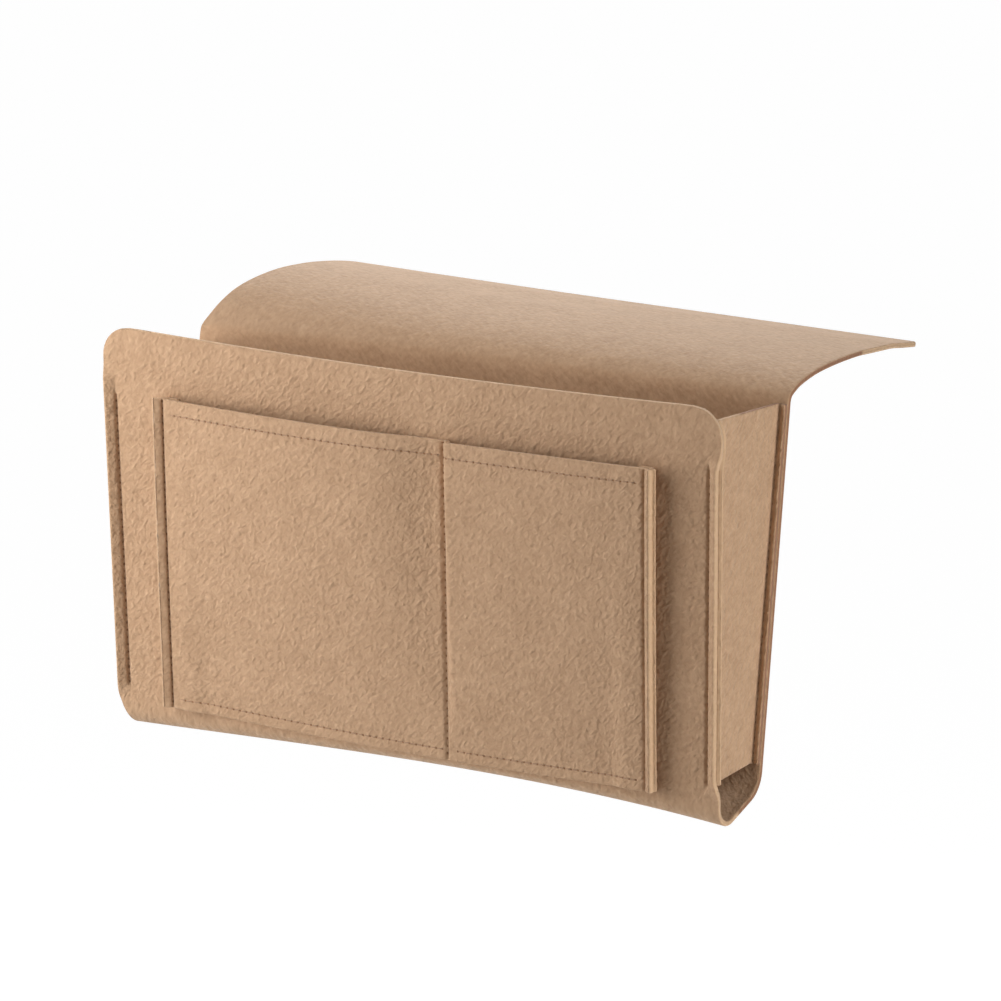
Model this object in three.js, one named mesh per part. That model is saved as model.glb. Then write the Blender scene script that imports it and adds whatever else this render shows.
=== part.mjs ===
// Bedside caddy of thick wool felt, in millimetres, +Z up.
// X runs across the width, +Y points to the bed and the front faces -Y.
// One long felt sheet makes the front, the bottom, the back and the flap that goes under the mattress.
// Two tapered gussets close its sides, and a pocket with two compartments is sewn to its front.
// The origin is the middle of the back panel's flat rear face.

import * as THREE from 'three';

// Felt and thread
const feltThickness = 2.5;
const layerGap = 0.3;
const threadRadius = 0.4;

// Body
const bodyWidth = 331;
const bodyHeight = 192;
const mouthDepth = 65;
const footDepth = 40;
const cornerRadius = 14.5;
const frontTopSag = 2.2;
const frontFoldRadius = 10.5;
const backFoldRadius = 14;
const bottomSlope = THREE.MathUtils.degToRad(24.2);
const bottomArch = 5;
const archSkewShare = 0.5;
const leftFootInset = 3.7;
const rightFootInset = 2;
const leftBackInset = 13.5;
const leftFoldInset = 4.5;
const foldInsetHeight = 16;

// Side seams and gussets
const seamAllowance = 6;
const seamTilt = THREE.MathUtils.degToRad(34);
const seamTopDrop = 23;
const seamFootLift = 17;
const seamEasing = 12;
const edgeStep = 0.3;
const gussetBendRadius = 1.6;
const gussetFrontDrop = 5.6;
const leftGussetBackDrop = 7;
const rightGussetBackDrop = 0.9;
const gussetFootRise = 4.5;

// Flap: its fold runs a little lower on the left, where the sheet bends more softly and arches higher
const foldRightDrop = 2;
const foldLeftDrop = 6.5;
const flapReach = 146;
const flapRightRise = 11.8;
const flapLeftRise = 15.4;
const flapRightTipInset = 12;
const flapLeftTipInset = 14;
const flapCornerRadius = 2;
const softSideShare = 0.45;
const rightFlapShares = [
  [0, 0], [0.01, 0.218], [0.036, 0.37], [0.079, 0.545], [0.205, 0.817], [0.335, 0.963],
  [0.45, 1.044], [0.54, 1.083], [0.615, 1.083], [0.73, 1.083], [0.8, 1.083], [0.89, 1.022],
  [1, 0.957],
];
const leftFlapShares = [
  [0, 0], [0.006, 0.125], [0.046, 0.325], [0.108, 0.586], [0.205, 0.862], [0.335, 1.061],
  [0.45, 1.162], [0.54, 1.194], [0.615, 1.206], [0.73, 1.188], [0.8, 1.161], [0.89, 1.104],
  [1, 0.986],
];

// Front pocket
const pocketLeftInset = 38;
const pocketWidth = 258;
const leftCompartmentWidth = 152;
const pocketTopDrop = 30;
const pocketHeight = 149;
const pocketTopSag = 1.3;
const pocketFootSag = 2.6;
const pocketRightFootInset = 1.4;
const pocketSeamAllowance = 5;
const pocketSideStep = 2;
const pocketSideStand = 6.5;
const leftCompartmentBulge = 3.5;
const rightCompartmentStand = 8;
const dividerFallWidth = 38;
const dividerStepWidth = 4;
const dividerSeat = 3.4;
const pocketSideEasing = 12;
const pocketSideFoot = 6;

// Stitch lines
const topHemDrop = 7;
const bottomHemLift = 5;
const hemEndInset = 4;
const footSeamInset = 3;
const threadEndInset = 1;

// Worked out from the sizes above
const halfFelt = feltThickness / 2;
const layerPitch = feltThickness + layerGap;
const threadLift = halfFelt + layerGap + threadRadius;
const halfWidth = bodyWidth / 2;
const seamX = halfWidth - seamAllowance;
const lean = (mouthDepth - footDepth) / (bodyHeight - frontFoldRadius);
const leanAngle = Math.atan(lean);
const backMiddleY = -halfFelt;
const seamTop = bodyHeight - seamTopDrop;
const seamEaseTop = seamTop + seamEasing / 2;
const seamFullTop = seamTop - seamEasing / 2;
const seamFullFoot = seamFootLift + seamEasing / 2;
const seamEaseFoot = seamFootLift - seamEasing / 2;
const gussetFoot = seamFullFoot - seamEasing / 4;
const gussetWallX = seamX + layerPitch * Math.sin(seamTilt) - gussetBendRadius * (1 - Math.sin(seamTilt));
const foldRight = bodyHeight - foldRightDrop;
const foldLeft = bodyHeight - foldLeftDrop;
const pocketLeftX = pocketLeftInset - halfWidth;
const pocketRightX = pocketLeftX + pocketWidth;
const dividerX = pocketLeftX + leftCompartmentWidth;
const pocketTop = bodyHeight - pocketTopDrop;
const pocketFoot = pocketTop - pocketHeight;
const onPanel = halfFelt + layerGap;
const pocketSideRest = onPanel + layerPitch + layerGap;

const { lerp, clamp } = THREE.MathUtils;

const feltMaterial = new THREE.MeshStandardMaterial({ color: 0xb98f6b, roughness: 0.95, metalness: 0 });
const threadMaterial = new THREE.MeshStandardMaterial({ color: 0x9c7350, roughness: 0.7, metalness: 0 });

// Shared shape tools

function smooth(share) {
  const s = clamp(share, 0, 1);
  return s * s * (3 - 2 * s);
}

function steps(from, to, count) {
  return Array.from({ length: count + 1 }, (_, i) => lerp(from, to, i / count));
}

function signedVolume(points, faces) {
  const volumes = faces.map(([a, b, c]) => points[a].dot(points[b].clone().cross(points[c])));
  return volumes.reduce((sum, volume) => sum + volume, 0);
}

function closedMesh(name, points, faces, material) {
  const outward = signedVolume(points, faces) > 0;
  const index = faces.flatMap(([a, b, c]) => (outward ? [a, b, c] : [a, c, b]));
  const geometry = new THREE.BufferGeometry();
  geometry.setAttribute('position', new THREE.Float32BufferAttribute(points.flatMap((p) => p.toArray()), 3));
  geometry.setIndex(index);
  geometry.computeVertexNormals();
  const mesh = new THREE.Mesh(geometry, material.clone());
  mesh.name = name;
  return mesh;
}

// Middle direction of a line at a point; its length falls as the line turns more sharply.
function heading(before, here, after) {
  const parts = [[before, here], [here, after]].filter(([a, b]) => a && b);
  const sum = new THREE.Vector3();
  for (const [a, b] of parts) sum.add(b.clone().sub(a).normalize());
  return sum.divideScalar(parts.length);
}

// Where the sheet's surface lies at a grid point, for half a thickness of one.
function surfaceOffset(rows, r, c) {
  const along = heading(rows[r][c - 1], rows[r][c], rows[r][c + 1]);
  const down = heading(rows[r - 1]?.[c], rows[r][c], rows[r + 1]?.[c]);
  const mitre = 1 / (along.length() * down.length());
  return along.cross(down).normalize().multiplyScalar(mitre);
}

// A felt sheet about a grid of points on its middle surface; a row's share thins the sheet there.
function feltSheet(name, rows, shares = []) {
  const height = rows.length;
  const width = rows[0].length;
  const points = [halfFelt, -halfFelt].flatMap((offset) => rows.flatMap((row, r) => (
    row.map((p, c) => p.clone().addScaledVector(surfaceOffset(rows, r, c), offset * (shares[r] ?? 1)))
  )));
  const at = (layer, r, c) => (layer * height + r) * width + c;
  const faces = [];
  const quad = (a, b, c, d) => faces.push([a, b, c], [a, c, d]);
  for (let r = 0; r + 1 < height; r++) {
    for (let c = 0; c + 1 < width; c++) {
      quad(at(0, r, c), at(0, r + 1, c), at(0, r + 1, c + 1), at(0, r, c + 1));
      quad(at(1, r, c), at(1, r, c + 1), at(1, r + 1, c + 1), at(1, r + 1, c));
    }
  }
  const last = { r: height - 1, c: width - 1 };
  for (let c = 0; c < last.c; c++) {
    quad(at(0, 0, c), at(0, 0, c + 1), at(1, 0, c + 1), at(1, 0, c));
    quad(at(0, last.r, c + 1), at(0, last.r, c), at(1, last.r, c), at(1, last.r, c + 1));
  }
  for (let r = 0; r < last.r; r++) {
    quad(at(0, r + 1, 0), at(0, r, 0), at(1, r, 0), at(1, r + 1, 0));
    quad(at(0, r, last.c), at(0, r + 1, last.c), at(1, r + 1, last.c), at(1, r, last.c));
  }
  return closedMesh(name, points, faces, feltMaterial);
}

// A run of sewing thread: a round tube along a line of points.
function threadRun(name, line) {
  const sides = 6;
  const points = line.flatMap((p, i) => {
    const tangent = heading(line[i - 1], p, line[i + 1]).normalize();
    const across = tangent.clone().cross(new THREE.Vector3(0, 1, 0)).normalize();
    return steps(0, 2 * Math.PI, sides).slice(1).map((turn) => (
      p.clone().addScaledVector(across.clone().applyAxisAngle(tangent, turn), threadRadius)
    ));
  });
  const faces = [];
  for (let i = 0; i + 1 < line.length; i++) {
    for (let s = 0; s < sides; s++) {
      const [a, b] = [i * sides + s, i * sides + (s + 1) % sides];
      faces.push([a, b, b + sides], [a, b + sides, a + sides]);
    }
  }
  const end = (line.length - 1) * sides;
  for (let s = 1; s + 1 < sides; s++) {
    faces.push([0, s + 1, s], [end, end + s, end + s + 1]);
  }
  return closedMesh(name, points, faces, threadMaterial);
}

// How far a rounded corner cuts into the width, at a distance from the sheet's end.
function cornerInset(radius, fromEnd) {
  const rest = radius - clamp(fromEnd, 0, radius);
  return radius - Math.sqrt(radius * radius - rest * rest);
}

// Distances from a rounded end, spaced evenly around the corner.
function cornerRows(radius, count) {
  return steps(0, Math.PI / 2, count).map((angle) => radius * (1 - Math.cos(angle)));
}

// Body: the front leans out towards its top, and the sides draw in towards the foot

function frontMiddleY(z) {
  return halfFelt - footDepth - lean * (z - frontFoldRadius);
}

// The left side also draws in towards the top of the back, and round the end of the front fold.
function leftInset(y, z) {
  const height = clamp(z / foldLeft, 0, 1);
  const depth = (y - frontMiddleY(z)) / (backMiddleY - frontMiddleY(z));
  const atFront = leftFootInset * (1 - height);
  const atBack = lerp(leftFootInset, leftBackInset, height);
  const atFold = leftFoldInset * smooth(1 - z / foldInsetHeight);
  return lerp(atFront, atBack, clamp(depth, 0, 1)) + atFold;
}

function rightInset(z) {
  return rightFootInset * (1 - clamp(z / foldRight, 0, 1));
}

function placed(x, y, z) {
  const share = clamp(x / seamX, -1, 1);
  const inset = x < 0 ? leftInset(y, z) : rightInset(z);
  return new THREE.Vector3(x - share * inset, y, z);
}

// How far along the fold a point is, from its left end to its right one.
function foldShare(x) {
  const left = leftBackInset - halfWidth;
  return (x - left) / (halfWidth - left);
}

function foldHeight(x) {
  return lerp(foldLeft, foldRight, foldShare(x));
}

function flapLevel(x) {
  return bodyHeight + lerp(flapLeftRise, flapRightRise, foldShare(x));
}

// The sewn margins of the front tilt forward, and lie flat above and below the seam.
function marginTilt(z) {
  const below = smooth((seamEaseTop - z) / seamEasing);
  const above = smooth((z - seamEaseFoot) / seamEasing);
  return seamTilt * below * above;
}

function frontHeights() {
  return [
    ...cornerRows(cornerRadius, 5).map((drop) => bodyHeight - drop),
    ...steps(seamEaseTop, seamFullTop, 4),
    ...steps(seamFullTop, seamFullFoot, 5).slice(1),
    ...steps(seamFullFoot, seamEaseFoot, 4).slice(1),
  ];
}

function arcPoints(centre, radius, from, to, count) {
  return steps(from, to, count).map((angle) => ({
    y: centre.y + radius * Math.cos(angle),
    z: centre.z + radius * Math.sin(angle),
  }));
}

// The bottom, seen from the side: a round front fold, a slope up to the back and a tighter back fold.
function bottomLine() {
  const frontRadius = frontFoldRadius - halfFelt;
  const backRadius = backFoldRadius - halfFelt;
  const start = frontFoldRadius - frontRadius * Math.sin(leanAngle);
  const frontCentre = { y: frontMiddleY(start) + frontRadius * Math.cos(leanAngle), z: frontFoldRadius };
  const front = arcPoints(frontCentre, frontRadius, Math.PI + leanAngle, Math.PI * 3 / 2 + bottomSlope, 8);
  const slopeEnd = backMiddleY - backRadius * (1 - Math.sin(bottomSlope));
  const run = (slopeEnd - front.at(-1).y) * Math.tan(bottomSlope);
  const backCentre = {
    y: backMiddleY - backRadius,
    z: front.at(-1).z + run + backRadius * Math.cos(bottomSlope),
  };
  return [...front, ...arcPoints(backCentre, backRadius, bottomSlope - Math.PI / 2, 0, 6)];
}

// Columns across the body: the margins, the seam lines and the field between them.
function bodyColumns() {
  const field = seamX - seamAllowance / 2;
  const margin = [seamX, seamX + seamAllowance / 2, halfWidth];
  return [...margin.map((x) => -x).reverse(), ...steps(-field, field, 10), ...margin];
}

// The front fold arches up a little between its two ends, more on its right half.
function archLift(x, z) {
  const across = (1 - (x / halfWidth) ** 2) * (1 + archSkewShare * x / halfWidth);
  return bottomArch * across * smooth((pocketFoot - z) / pocketFoot);
}

// The front's top edge hangs down a little between its two ends.
function topSag(x, z) {
  const across = 1 - Math.min(Math.abs(x) / seamX, 1) ** 2;
  return frontTopSag * across * smooth((z - seamEaseTop) / (bodyHeight - seamEaseTop));
}

function frontRow(z) {
  const narrowing = 1 - cornerInset(cornerRadius, bodyHeight - z) / halfWidth;
  const tilt = marginTilt(z);
  return bodyColumns().map((x) => {
    const out = Math.max(Math.abs(x) - seamX, 0);
    const tilted = x - Math.sign(x) * out * (1 - Math.cos(tilt));
    const low = z - topSag(x, z);
    return placed(tilted * narrowing, frontMiddleY(low) - out * Math.sin(tilt), low);
  });
}

function mainPanel() {
  const bottom = bottomLine();
  const backFoot = bottom.at(-1).z;
  const rows = [
    ...frontHeights().map(frontRow),
    ...bottom.map(({ y, z }) => bodyColumns().map((x) => placed(x, y, z + archLift(x, z)))),
    ...steps(0, 1, 4).slice(1).map((share) => bodyColumns().map((x) => {
      const top = foldHeight(placed(x, backMiddleY, foldHeight(x)).x) - halfFelt - layerGap;
      return placed(x, backMiddleY, lerp(backFoot, top, share));
    })),
  ];
  return feltSheet('main_panel', rows);
}

// Flap: a bend at its root, a long low arch and a level end

function flapProfile(shares) {
  return new THREE.CatmullRomCurve3(shares.map(([y, z]) => new THREE.Vector3(0, y, z)));
}

function flapRows() {
  const segments = rightFlapShares.length - 1;
  const lastSegment = (flapReach - backMiddleY) * (1 - rightFlapShares.at(-2)[0]);
  const tips = cornerRows(flapCornerRadius, 6).reverse();
  return [
    ...steps(0, segments - 1, 2 * (segments - 1)),
    ...tips.map((fromEnd) => segments - fromEnd / lastSegment),
  ].map((row) => row / segments);
}

function flapPanel() {
  const left = flapProfile(leftFlapShares);
  const right = flapProfile(rightFlapShares);
  const point = (row, across) => {
    const shares = left.getPoint(row).lerp(right.getPoint(row), smooth(across / softSideShare));
    const y = lerp(backMiddleY, flapReach, shares.y);
    const corner = cornerInset(flapCornerRadius, flapReach - y);
    const leftEdge = lerp(leftBackInset, flapLeftTipInset, shares.y) + corner - halfWidth;
    const rightEdge = halfWidth - flapRightTipInset * shares.y - corner;
    const x = lerp(leftEdge, rightEdge, across);
    return new THREE.Vector3(x, y, lerp(foldHeight(x), flapLevel(x), shares.z));
  };
  const across = steps(0, 1, 12);
  const noseTurns = steps(Math.PI / 10, Math.PI / 2, 4);
  const nose = noseTurns.map((turn) => across.map((share) => {
    const fold = point(0, share);
    return fold.setZ(fold.z - halfFelt * Math.cos(turn));
  }));
  const rows = flapRows().slice(1).map((row) => across.map((share) => point(row, share)));
  return feltSheet('flap_panel', [...nose, ...rows], noseTurns.map(Math.sin));
}

// Gussets: a flat wall whose two long margins turn outward against the margins of the long sheet

// Points round a bend of the gusset, from one heading to another.
function bendPoints(centre, fromTurn, toTurn) {
  return steps(fromTurn, toTurn, 4).map((turn) => ({
    x: centre.x - gussetBendRadius * Math.sin(turn),
    y: centre.y - gussetBendRadius * Math.cos(turn),
  }));
}

function gussetFront(z) {
  const tilt = marginTilt(z);
  const bendStart = gussetWallX + gussetBendRadius * (1 - Math.sin(tilt));
  const onMargin = (x) => ({
    x,
    y: frontMiddleY(z) + layerPitch / Math.cos(tilt) - (x - seamX) * Math.tan(tilt),
  });
  const start = onMargin(bendStart);
  const centre = {
    x: start.x + gussetBendRadius * Math.sin(tilt),
    y: start.y + gussetBendRadius * Math.cos(tilt),
  };
  const marginX = seamX + layerPitch * Math.sin(tilt) + (seamAllowance - edgeStep) * Math.cos(tilt);
  const cornerX = halfWidth - cornerInset(cornerRadius, bodyHeight - z) - edgeStep;
  return [onMargin(Math.min(marginX, cornerX)), ...bendPoints(centre, tilt, Math.PI / 2)];
}

function gussetBack() {
  const y = backMiddleY - layerPitch;
  const centre = { x: gussetWallX + gussetBendRadius, y: y - gussetBendRadius };
  return [...bendPoints(centre, Math.PI / 2, Math.PI), { x: halfWidth - edgeStep, y }];
}

function gussetFrontHeights() {
  return [
    ...steps(bodyHeight - gussetFrontDrop, bodyHeight - cornerRadius, 4),
    ...steps(seamEaseTop, seamFullTop, 4),
    ...steps(seamFullTop, seamFullFoot, 5).slice(1),
    gussetFoot,
  ];
}

function gusset(side, sign) {
  const backTop = sign < 0 ? foldLeft - leftGussetBackDrop : foldRight - rightGussetBackDrop;
  const heights = gussetFrontHeights();
  const rows = heights.map((frontZ) => {
    const share = (frontZ - heights.at(-1)) / (heights[0] - heights.at(-1));
    const backZ = lerp(heights.at(-1) + gussetFootRise, backTop, share);
    const front = gussetFront(frontZ).map((p) => placed(sign * p.x, p.y, frontZ));
    const back = gussetBack().map((p) => placed(sign * p.x, p.y, backZ));
    const wall = steps(0, 1, 4).slice(1, -1).map((s) => front.at(-1).clone().lerp(back[0], s));
    return [...front, ...wall, ...back];
  });
  return feltSheet(`${side}_gusset`, rows);
}

// Front pocket: its sheet stands off the front panel, and meets it at the bottom and at the divider

function frontFaceY(z) {
  return frontMiddleY(z) - halfFelt;
}

function pocketRise(z) {
  const foot = pocketFoot + bottomHemLift;
  return Math.sin(clamp((z - foot) / (pocketTop - foot), 0, 1) * Math.PI / 2);
}

function pocketSideOffset(z) {
  return lerp(pocketSideRest, pocketSideStand, pocketRise(z));
}

// How far the pocket's middle surface stands in front of the panel, where it rests.
function pocketRestOffset(x) {
  const fromSeam = Math.min(x - pocketLeftX, pocketRightX - x);
  return lerp(pocketSideRest, onPanel, smooth((fromSeam - pocketSideFoot - layerPitch) / pocketSideEasing));
}

// The same at the pocket's open top.
function pocketStandOffset(x) {
  if (x < dividerX) {
    const across = (x - pocketLeftX) / leftCompartmentWidth;
    const standing = pocketSideStand + leftCompartmentBulge * Math.sin(Math.PI * across);
    return lerp(onPanel, standing, smooth((dividerX - dividerSeat - x) / dividerFallWidth));
  }
  const across = (x - dividerX) / (pocketRightX - dividerX);
  const standing = lerp(rightCompartmentStand, pocketSideStand, across);
  return lerp(onPanel, standing, smooth((x - dividerX) / dividerStepWidth));
}

// The pocket's right side seam draws in a little towards the foot.
function pocketSeamX(sign, z) {
  return sign < 0 ? pocketLeftX : pocketRightX - pocketRightFootInset * (pocketTop - z) / pocketHeight;
}

// Both edges of the pocket hang down a little between its side seams.
function pocketSag(x, z) {
  const across = 1 - (2 * (x - pocketLeftX) / pocketWidth - 1) ** 2;
  return lerp(pocketFootSag, pocketTopSag, (z - pocketFoot) / pocketHeight) * across;
}

function pocketPoint(x, z, lift) {
  const drawnIn = (pocketRightX - pocketSeamX(1, z)) * Math.max(x - dividerX, 0) / (pocketRightX - dividerX);
  const low = z - pocketSag(x, z);
  const offset = lerp(pocketRestOffset(x), pocketStandOffset(x), pocketRise(z));
  return new THREE.Vector3(x - drawnIn, frontFaceY(low) - offset - lift, low);
}

function pocketColumns() {
  const eased = pocketSideFoot + layerPitch + pocketSideEasing;
  return [
    ...steps(pocketLeftX, pocketLeftX + eased, 5),
    ...steps(pocketLeftX + eased, dividerX - dividerSeat - dividerFallWidth, 5).slice(1),
    ...steps(dividerX - dividerSeat - dividerFallWidth, dividerX - dividerSeat, 6).slice(1),
    dividerX,
    ...steps(dividerX, dividerX + dividerStepWidth, 3).slice(1),
    ...steps(dividerX + dividerStepWidth, pocketRightX - eased, 4).slice(1),
    ...steps(pocketRightX - eased, pocketRightX, 5).slice(1),
  ];
}

function pocketHeights() {
  return [...steps(pocketTop, pocketFoot + bottomHemLift, 8), pocketFoot];
}

// Point on a tilted margin of the pocket, outside its side seam and some layers behind its middle.
function pocketMargin(sign, z, out, behind) {
  const x = pocketSeamX(sign, z) + sign * (out * Math.cos(seamTilt) + behind * Math.sin(seamTilt));
  const offset = pocketSideOffset(z) + out * Math.sin(seamTilt) - behind * Math.cos(seamTilt);
  return new THREE.Vector3(x, frontFaceY(z) - offset, z);
}

function pocketPanel() {
  const rows = pocketHeights().map((z) => [
    pocketMargin(-1, z, pocketSeamAllowance, 0),
    ...pocketColumns().map((x) => pocketPoint(x, z, 0)),
    pocketMargin(1, z, pocketSeamAllowance, 0),
  ]);
  return feltSheet('pocket_panel', rows);
}

// A folded strip closes each side of the pocket: one margin behind the pocket's, one foot on the panel.
function pocketSide(side, sign) {
  const rows = pocketHeights().map((z) => {
    const base = pocketMargin(sign, z, 0, layerPitch);
    const footY = frontFaceY(z) - onPanel;
    return [
      pocketMargin(sign, z, pocketSeamAllowance - pocketSideStep, layerPitch),
      base,
      new THREE.Vector3(base.x - sign * halfFelt, footY, z),
      new THREE.Vector3(base.x - sign * (halfFelt + pocketSideFoot), footY, z),
    ];
  });
  return feltSheet(`${side}_pocket_side`, rows);
}

// Seams: one thread along each stitch line

// The thread lies in the groove where the margin turns forward.
function grooveOffset(sign) {
  const half = seamTilt / 2;
  return { x: -sign * threadLift * Math.tan(half), y: -threadLift };
}

function bodySeamThreads(side, sign) {
  const groove = grooveOffset(sign);
  const top = seamFullTop - threadEndInset;
  const foot = gussetFoot + threadEndInset;
  const front = steps(top, foot, 5).map((z) => placed(sign * seamX + groove.x, frontMiddleY(z) + groove.y, z));
  const backFoot = foot + gussetFootRise;
  const backY = backMiddleY - layerPitch - threadLift;
  const back = steps(seamEaseTop, backFoot, 5).map((z) => placed(sign * (gussetWallX + threadLift), backY, z));
  return [threadRun(`${side}_front_seam_thread`, front), threadRun(`${side}_back_seam_thread`, back)];
}

function pocketSideThreads(side, sign) {
  const groove = grooveOffset(sign);
  const heights = steps(pocketTop - threadEndInset, pocketFoot + threadEndInset, 8);
  const outer = heights.map((z) => new THREE.Vector3(
    pocketSeamX(sign, z) + groove.x,
    frontFaceY(z) - pocketSideOffset(z) + groove.y,
    z,
  ));
  const inner = heights.map((z) => new THREE.Vector3(
    pocketSeamX(sign, z) - sign * footSeamInset,
    frontMiddleY(z) + threadLift,
    z,
  ));
  return [threadRun(`${side}_pocket_seam_thread`, outer), threadRun(`${side}_pocket_foot_thread`, inner)];
}

function hemThread(name, z, from, to) {
  const columns = pocketColumns().filter((x) => x > from && x < to);
  return threadRun(name, [from, ...columns, to].map((x) => pocketPoint(x, z, threadLift)));
}

function pocketHemThreads() {
  const spans = [
    ['left', pocketLeftX + hemEndInset, dividerX - hemEndInset],
    ['right', dividerX + hemEndInset, pocketRightX - hemEndInset],
  ];
  return spans.flatMap(([side, from, to]) => [
    hemThread(`${side}_pocket_hem_thread`, pocketTop - topHemDrop, from, to),
    hemThread(`${side}_pocket_foot_hem_thread`, pocketFoot + bottomHemLift, from, to),
  ]);
}

function dividerThread() {
  const threadX = dividerX - dividerSeat / 2;
  const heights = steps(pocketTop - threadEndInset, pocketFoot + threadEndInset, 8);
  return threadRun('pocket_divider_thread', heights.map((z) => pocketPoint(threadX, z, threadLift)));
}

const caddy = new THREE.Group();
caddy.add(mainPanel(), flapPanel(), pocketPanel());
for (const [side, sign] of [['left', -1], ['right', 1]]) {
  caddy.add(gusset(side, sign), pocketSide(side, sign));
  caddy.add(...bodySeamThreads(side, sign), ...pocketSideThreads(side, sign));
}
caddy.add(...pocketHemThreads(), dividerThread());
for (const mesh of caddy.children) {
  mesh.geometry.translate(0, 0, -bodyHeight / 2);
}

export default caddy;
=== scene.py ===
import math

import bmesh
import bpy
import numpy as np
from mathutils import Matrix, Vector


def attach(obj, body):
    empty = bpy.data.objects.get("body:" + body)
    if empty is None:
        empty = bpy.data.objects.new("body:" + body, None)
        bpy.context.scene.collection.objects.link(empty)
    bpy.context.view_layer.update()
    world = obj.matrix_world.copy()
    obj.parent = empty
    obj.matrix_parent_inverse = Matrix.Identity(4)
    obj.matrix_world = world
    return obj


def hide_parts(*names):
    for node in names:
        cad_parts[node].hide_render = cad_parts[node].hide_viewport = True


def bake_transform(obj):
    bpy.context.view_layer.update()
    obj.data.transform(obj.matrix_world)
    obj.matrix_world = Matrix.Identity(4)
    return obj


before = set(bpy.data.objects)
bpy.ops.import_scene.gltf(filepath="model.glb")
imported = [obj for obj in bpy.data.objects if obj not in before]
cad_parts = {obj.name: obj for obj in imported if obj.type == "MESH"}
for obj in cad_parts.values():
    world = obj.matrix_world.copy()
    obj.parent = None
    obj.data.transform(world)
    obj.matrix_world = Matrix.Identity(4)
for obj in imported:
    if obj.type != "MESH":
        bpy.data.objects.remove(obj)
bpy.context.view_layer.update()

# Body sheet. One long piece of thick wool felt, cut with rounded corners. From the front's top edge it runs
# down the front, round the bottom, up the back and over the top as the flap that goes under the mattress.
# Sizes are in millimetres, and heights are measured from the lowest line of the bottom fold.
felt = 2.5
body_width, body_height = 331, 192
mouth_depth, foot_depth = 65, 40
corner_radius, flap_corner_radius, front_top_sag = 14.5, 2, 2.2
front_fold, back_fold = 10.5, 14
bottom_slope, bottom_arch, arch_foot, arch_skew_share = math.radians(24.2), 5, 13, 0.5
left_foot_inset, right_foot_inset, left_back_inset = 3.7, 2, 13.5
left_fold_inset, fold_inset_height = 4.5, 16
seam_margin, seam_tilt, seam_crease = 6, math.radians(34), 0.8
seam_top, seam_foot, seam_easing = 169, 17, 12
fold_left, fold_right = 185.5, 190
flap_reach, left_flap_rise, right_flap_rise = 146, 15.4, 11.8
left_tip_inset, right_tip_inset, soft_side_share = 14, 12, 0.45
right_flap_shares = [
    (0, 0), (0.01, 0.218), (0.036, 0.37), (0.079, 0.545), (0.205, 0.817), (0.335, 0.963),
    (0.45, 1.044), (0.54, 1.083), (0.615, 1.083), (0.73, 1.083), (0.8, 1.083), (0.89, 1.022),
    (1, 0.957),
]
left_flap_shares = [
    (0, 0), (0.006, 0.125), (0.046, 0.325), (0.108, 0.586), (0.205, 0.862), (0.335, 1.061),
    (0.45, 1.162), (0.54, 1.194), (0.615, 1.206), (0.73, 1.188), (0.8, 1.161), (0.89, 1.104),
    (1, 0.986),
]
edge_round, edge_support = 0.7, 1.2
stitch_pitch, pull_width = 3.6, 0.9
row_gap, corner_lines = 2.6, 9
mm = 0.001
middle_height = body_height / 2
half_width = body_width / 2
seam_x = half_width - seam_margin
lean = (mouth_depth - foot_depth) / (body_height - front_fold)
back_y = -felt / 2


def smooth(share):
    share = np.clip(share, 0, 1)
    return share * share * (3 - 2 * share)


def stretch(start, end, spacing):
    """Evenly spaced places from start to end, without the end."""
    count = max(1, round(abs(end - start) / spacing))
    return list(np.linspace(start, end, count + 1)[:-1])


def round_corner(radius, count):
    """Distances from a sheet's end to the lines round its corner, without the line closest to the end."""
    drops = [radius * (1 - math.cos(turn)) for turn in np.linspace(0, math.pi / 2, count + 1)]
    return drops[:1] + drops[2:]


def corner_inset(radius, from_end):
    rest = radius - np.clip(from_end, 0, radius)
    return radius - np.sqrt(radius ** 2 - rest ** 2)


def front_y(height):
    return felt / 2 - foot_depth - lean * (height - front_fold)


def draw_in(x, y, height):
    """Where a point across the width lies once the sides draw in towards the foot and the back."""
    up = np.clip(height / fold_left, 0, 1)
    back = np.clip((y - front_y(height)) / (back_y - front_y(height)), 0, 1)
    at_front = left_foot_inset * (1 - up)
    at_back = left_foot_inset + (left_back_inset - left_foot_inset) * up
    left = at_front + (at_back - at_front) * back + left_fold_inset * smooth(1 - height / fold_inset_height)
    right = right_foot_inset * (1 - np.clip(height / fold_right, 0, 1))
    return x - np.clip(x / seam_x, -1, 1) * np.where(x < 0, left, right)


def margin_tilt(height):
    below = smooth((seam_top + seam_easing / 2 - height) / seam_easing)
    above = smooth((height - seam_foot + seam_easing / 2) / seam_easing)
    return seam_tilt * below * above


def beyond(x, line):
    """How far a point lies outside a seam line, eased round the crease."""
    out = np.abs(x) - line
    return (np.hypot(out, seam_crease) + out) / 2


def arch(x, height):
    across = (1 - (x / half_width) ** 2) * (1 + arch_skew_share * x / half_width)
    return bottom_arch * across * smooth((arch_foot - height) / arch_foot)


def top_sag(x, height):
    seam_end = seam_top + seam_easing / 2
    across = 1 - np.minimum(np.abs(x) / seam_x, 1) ** 2
    return front_top_sag * across * smooth((height - seam_end) / (body_height - seam_end))


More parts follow.
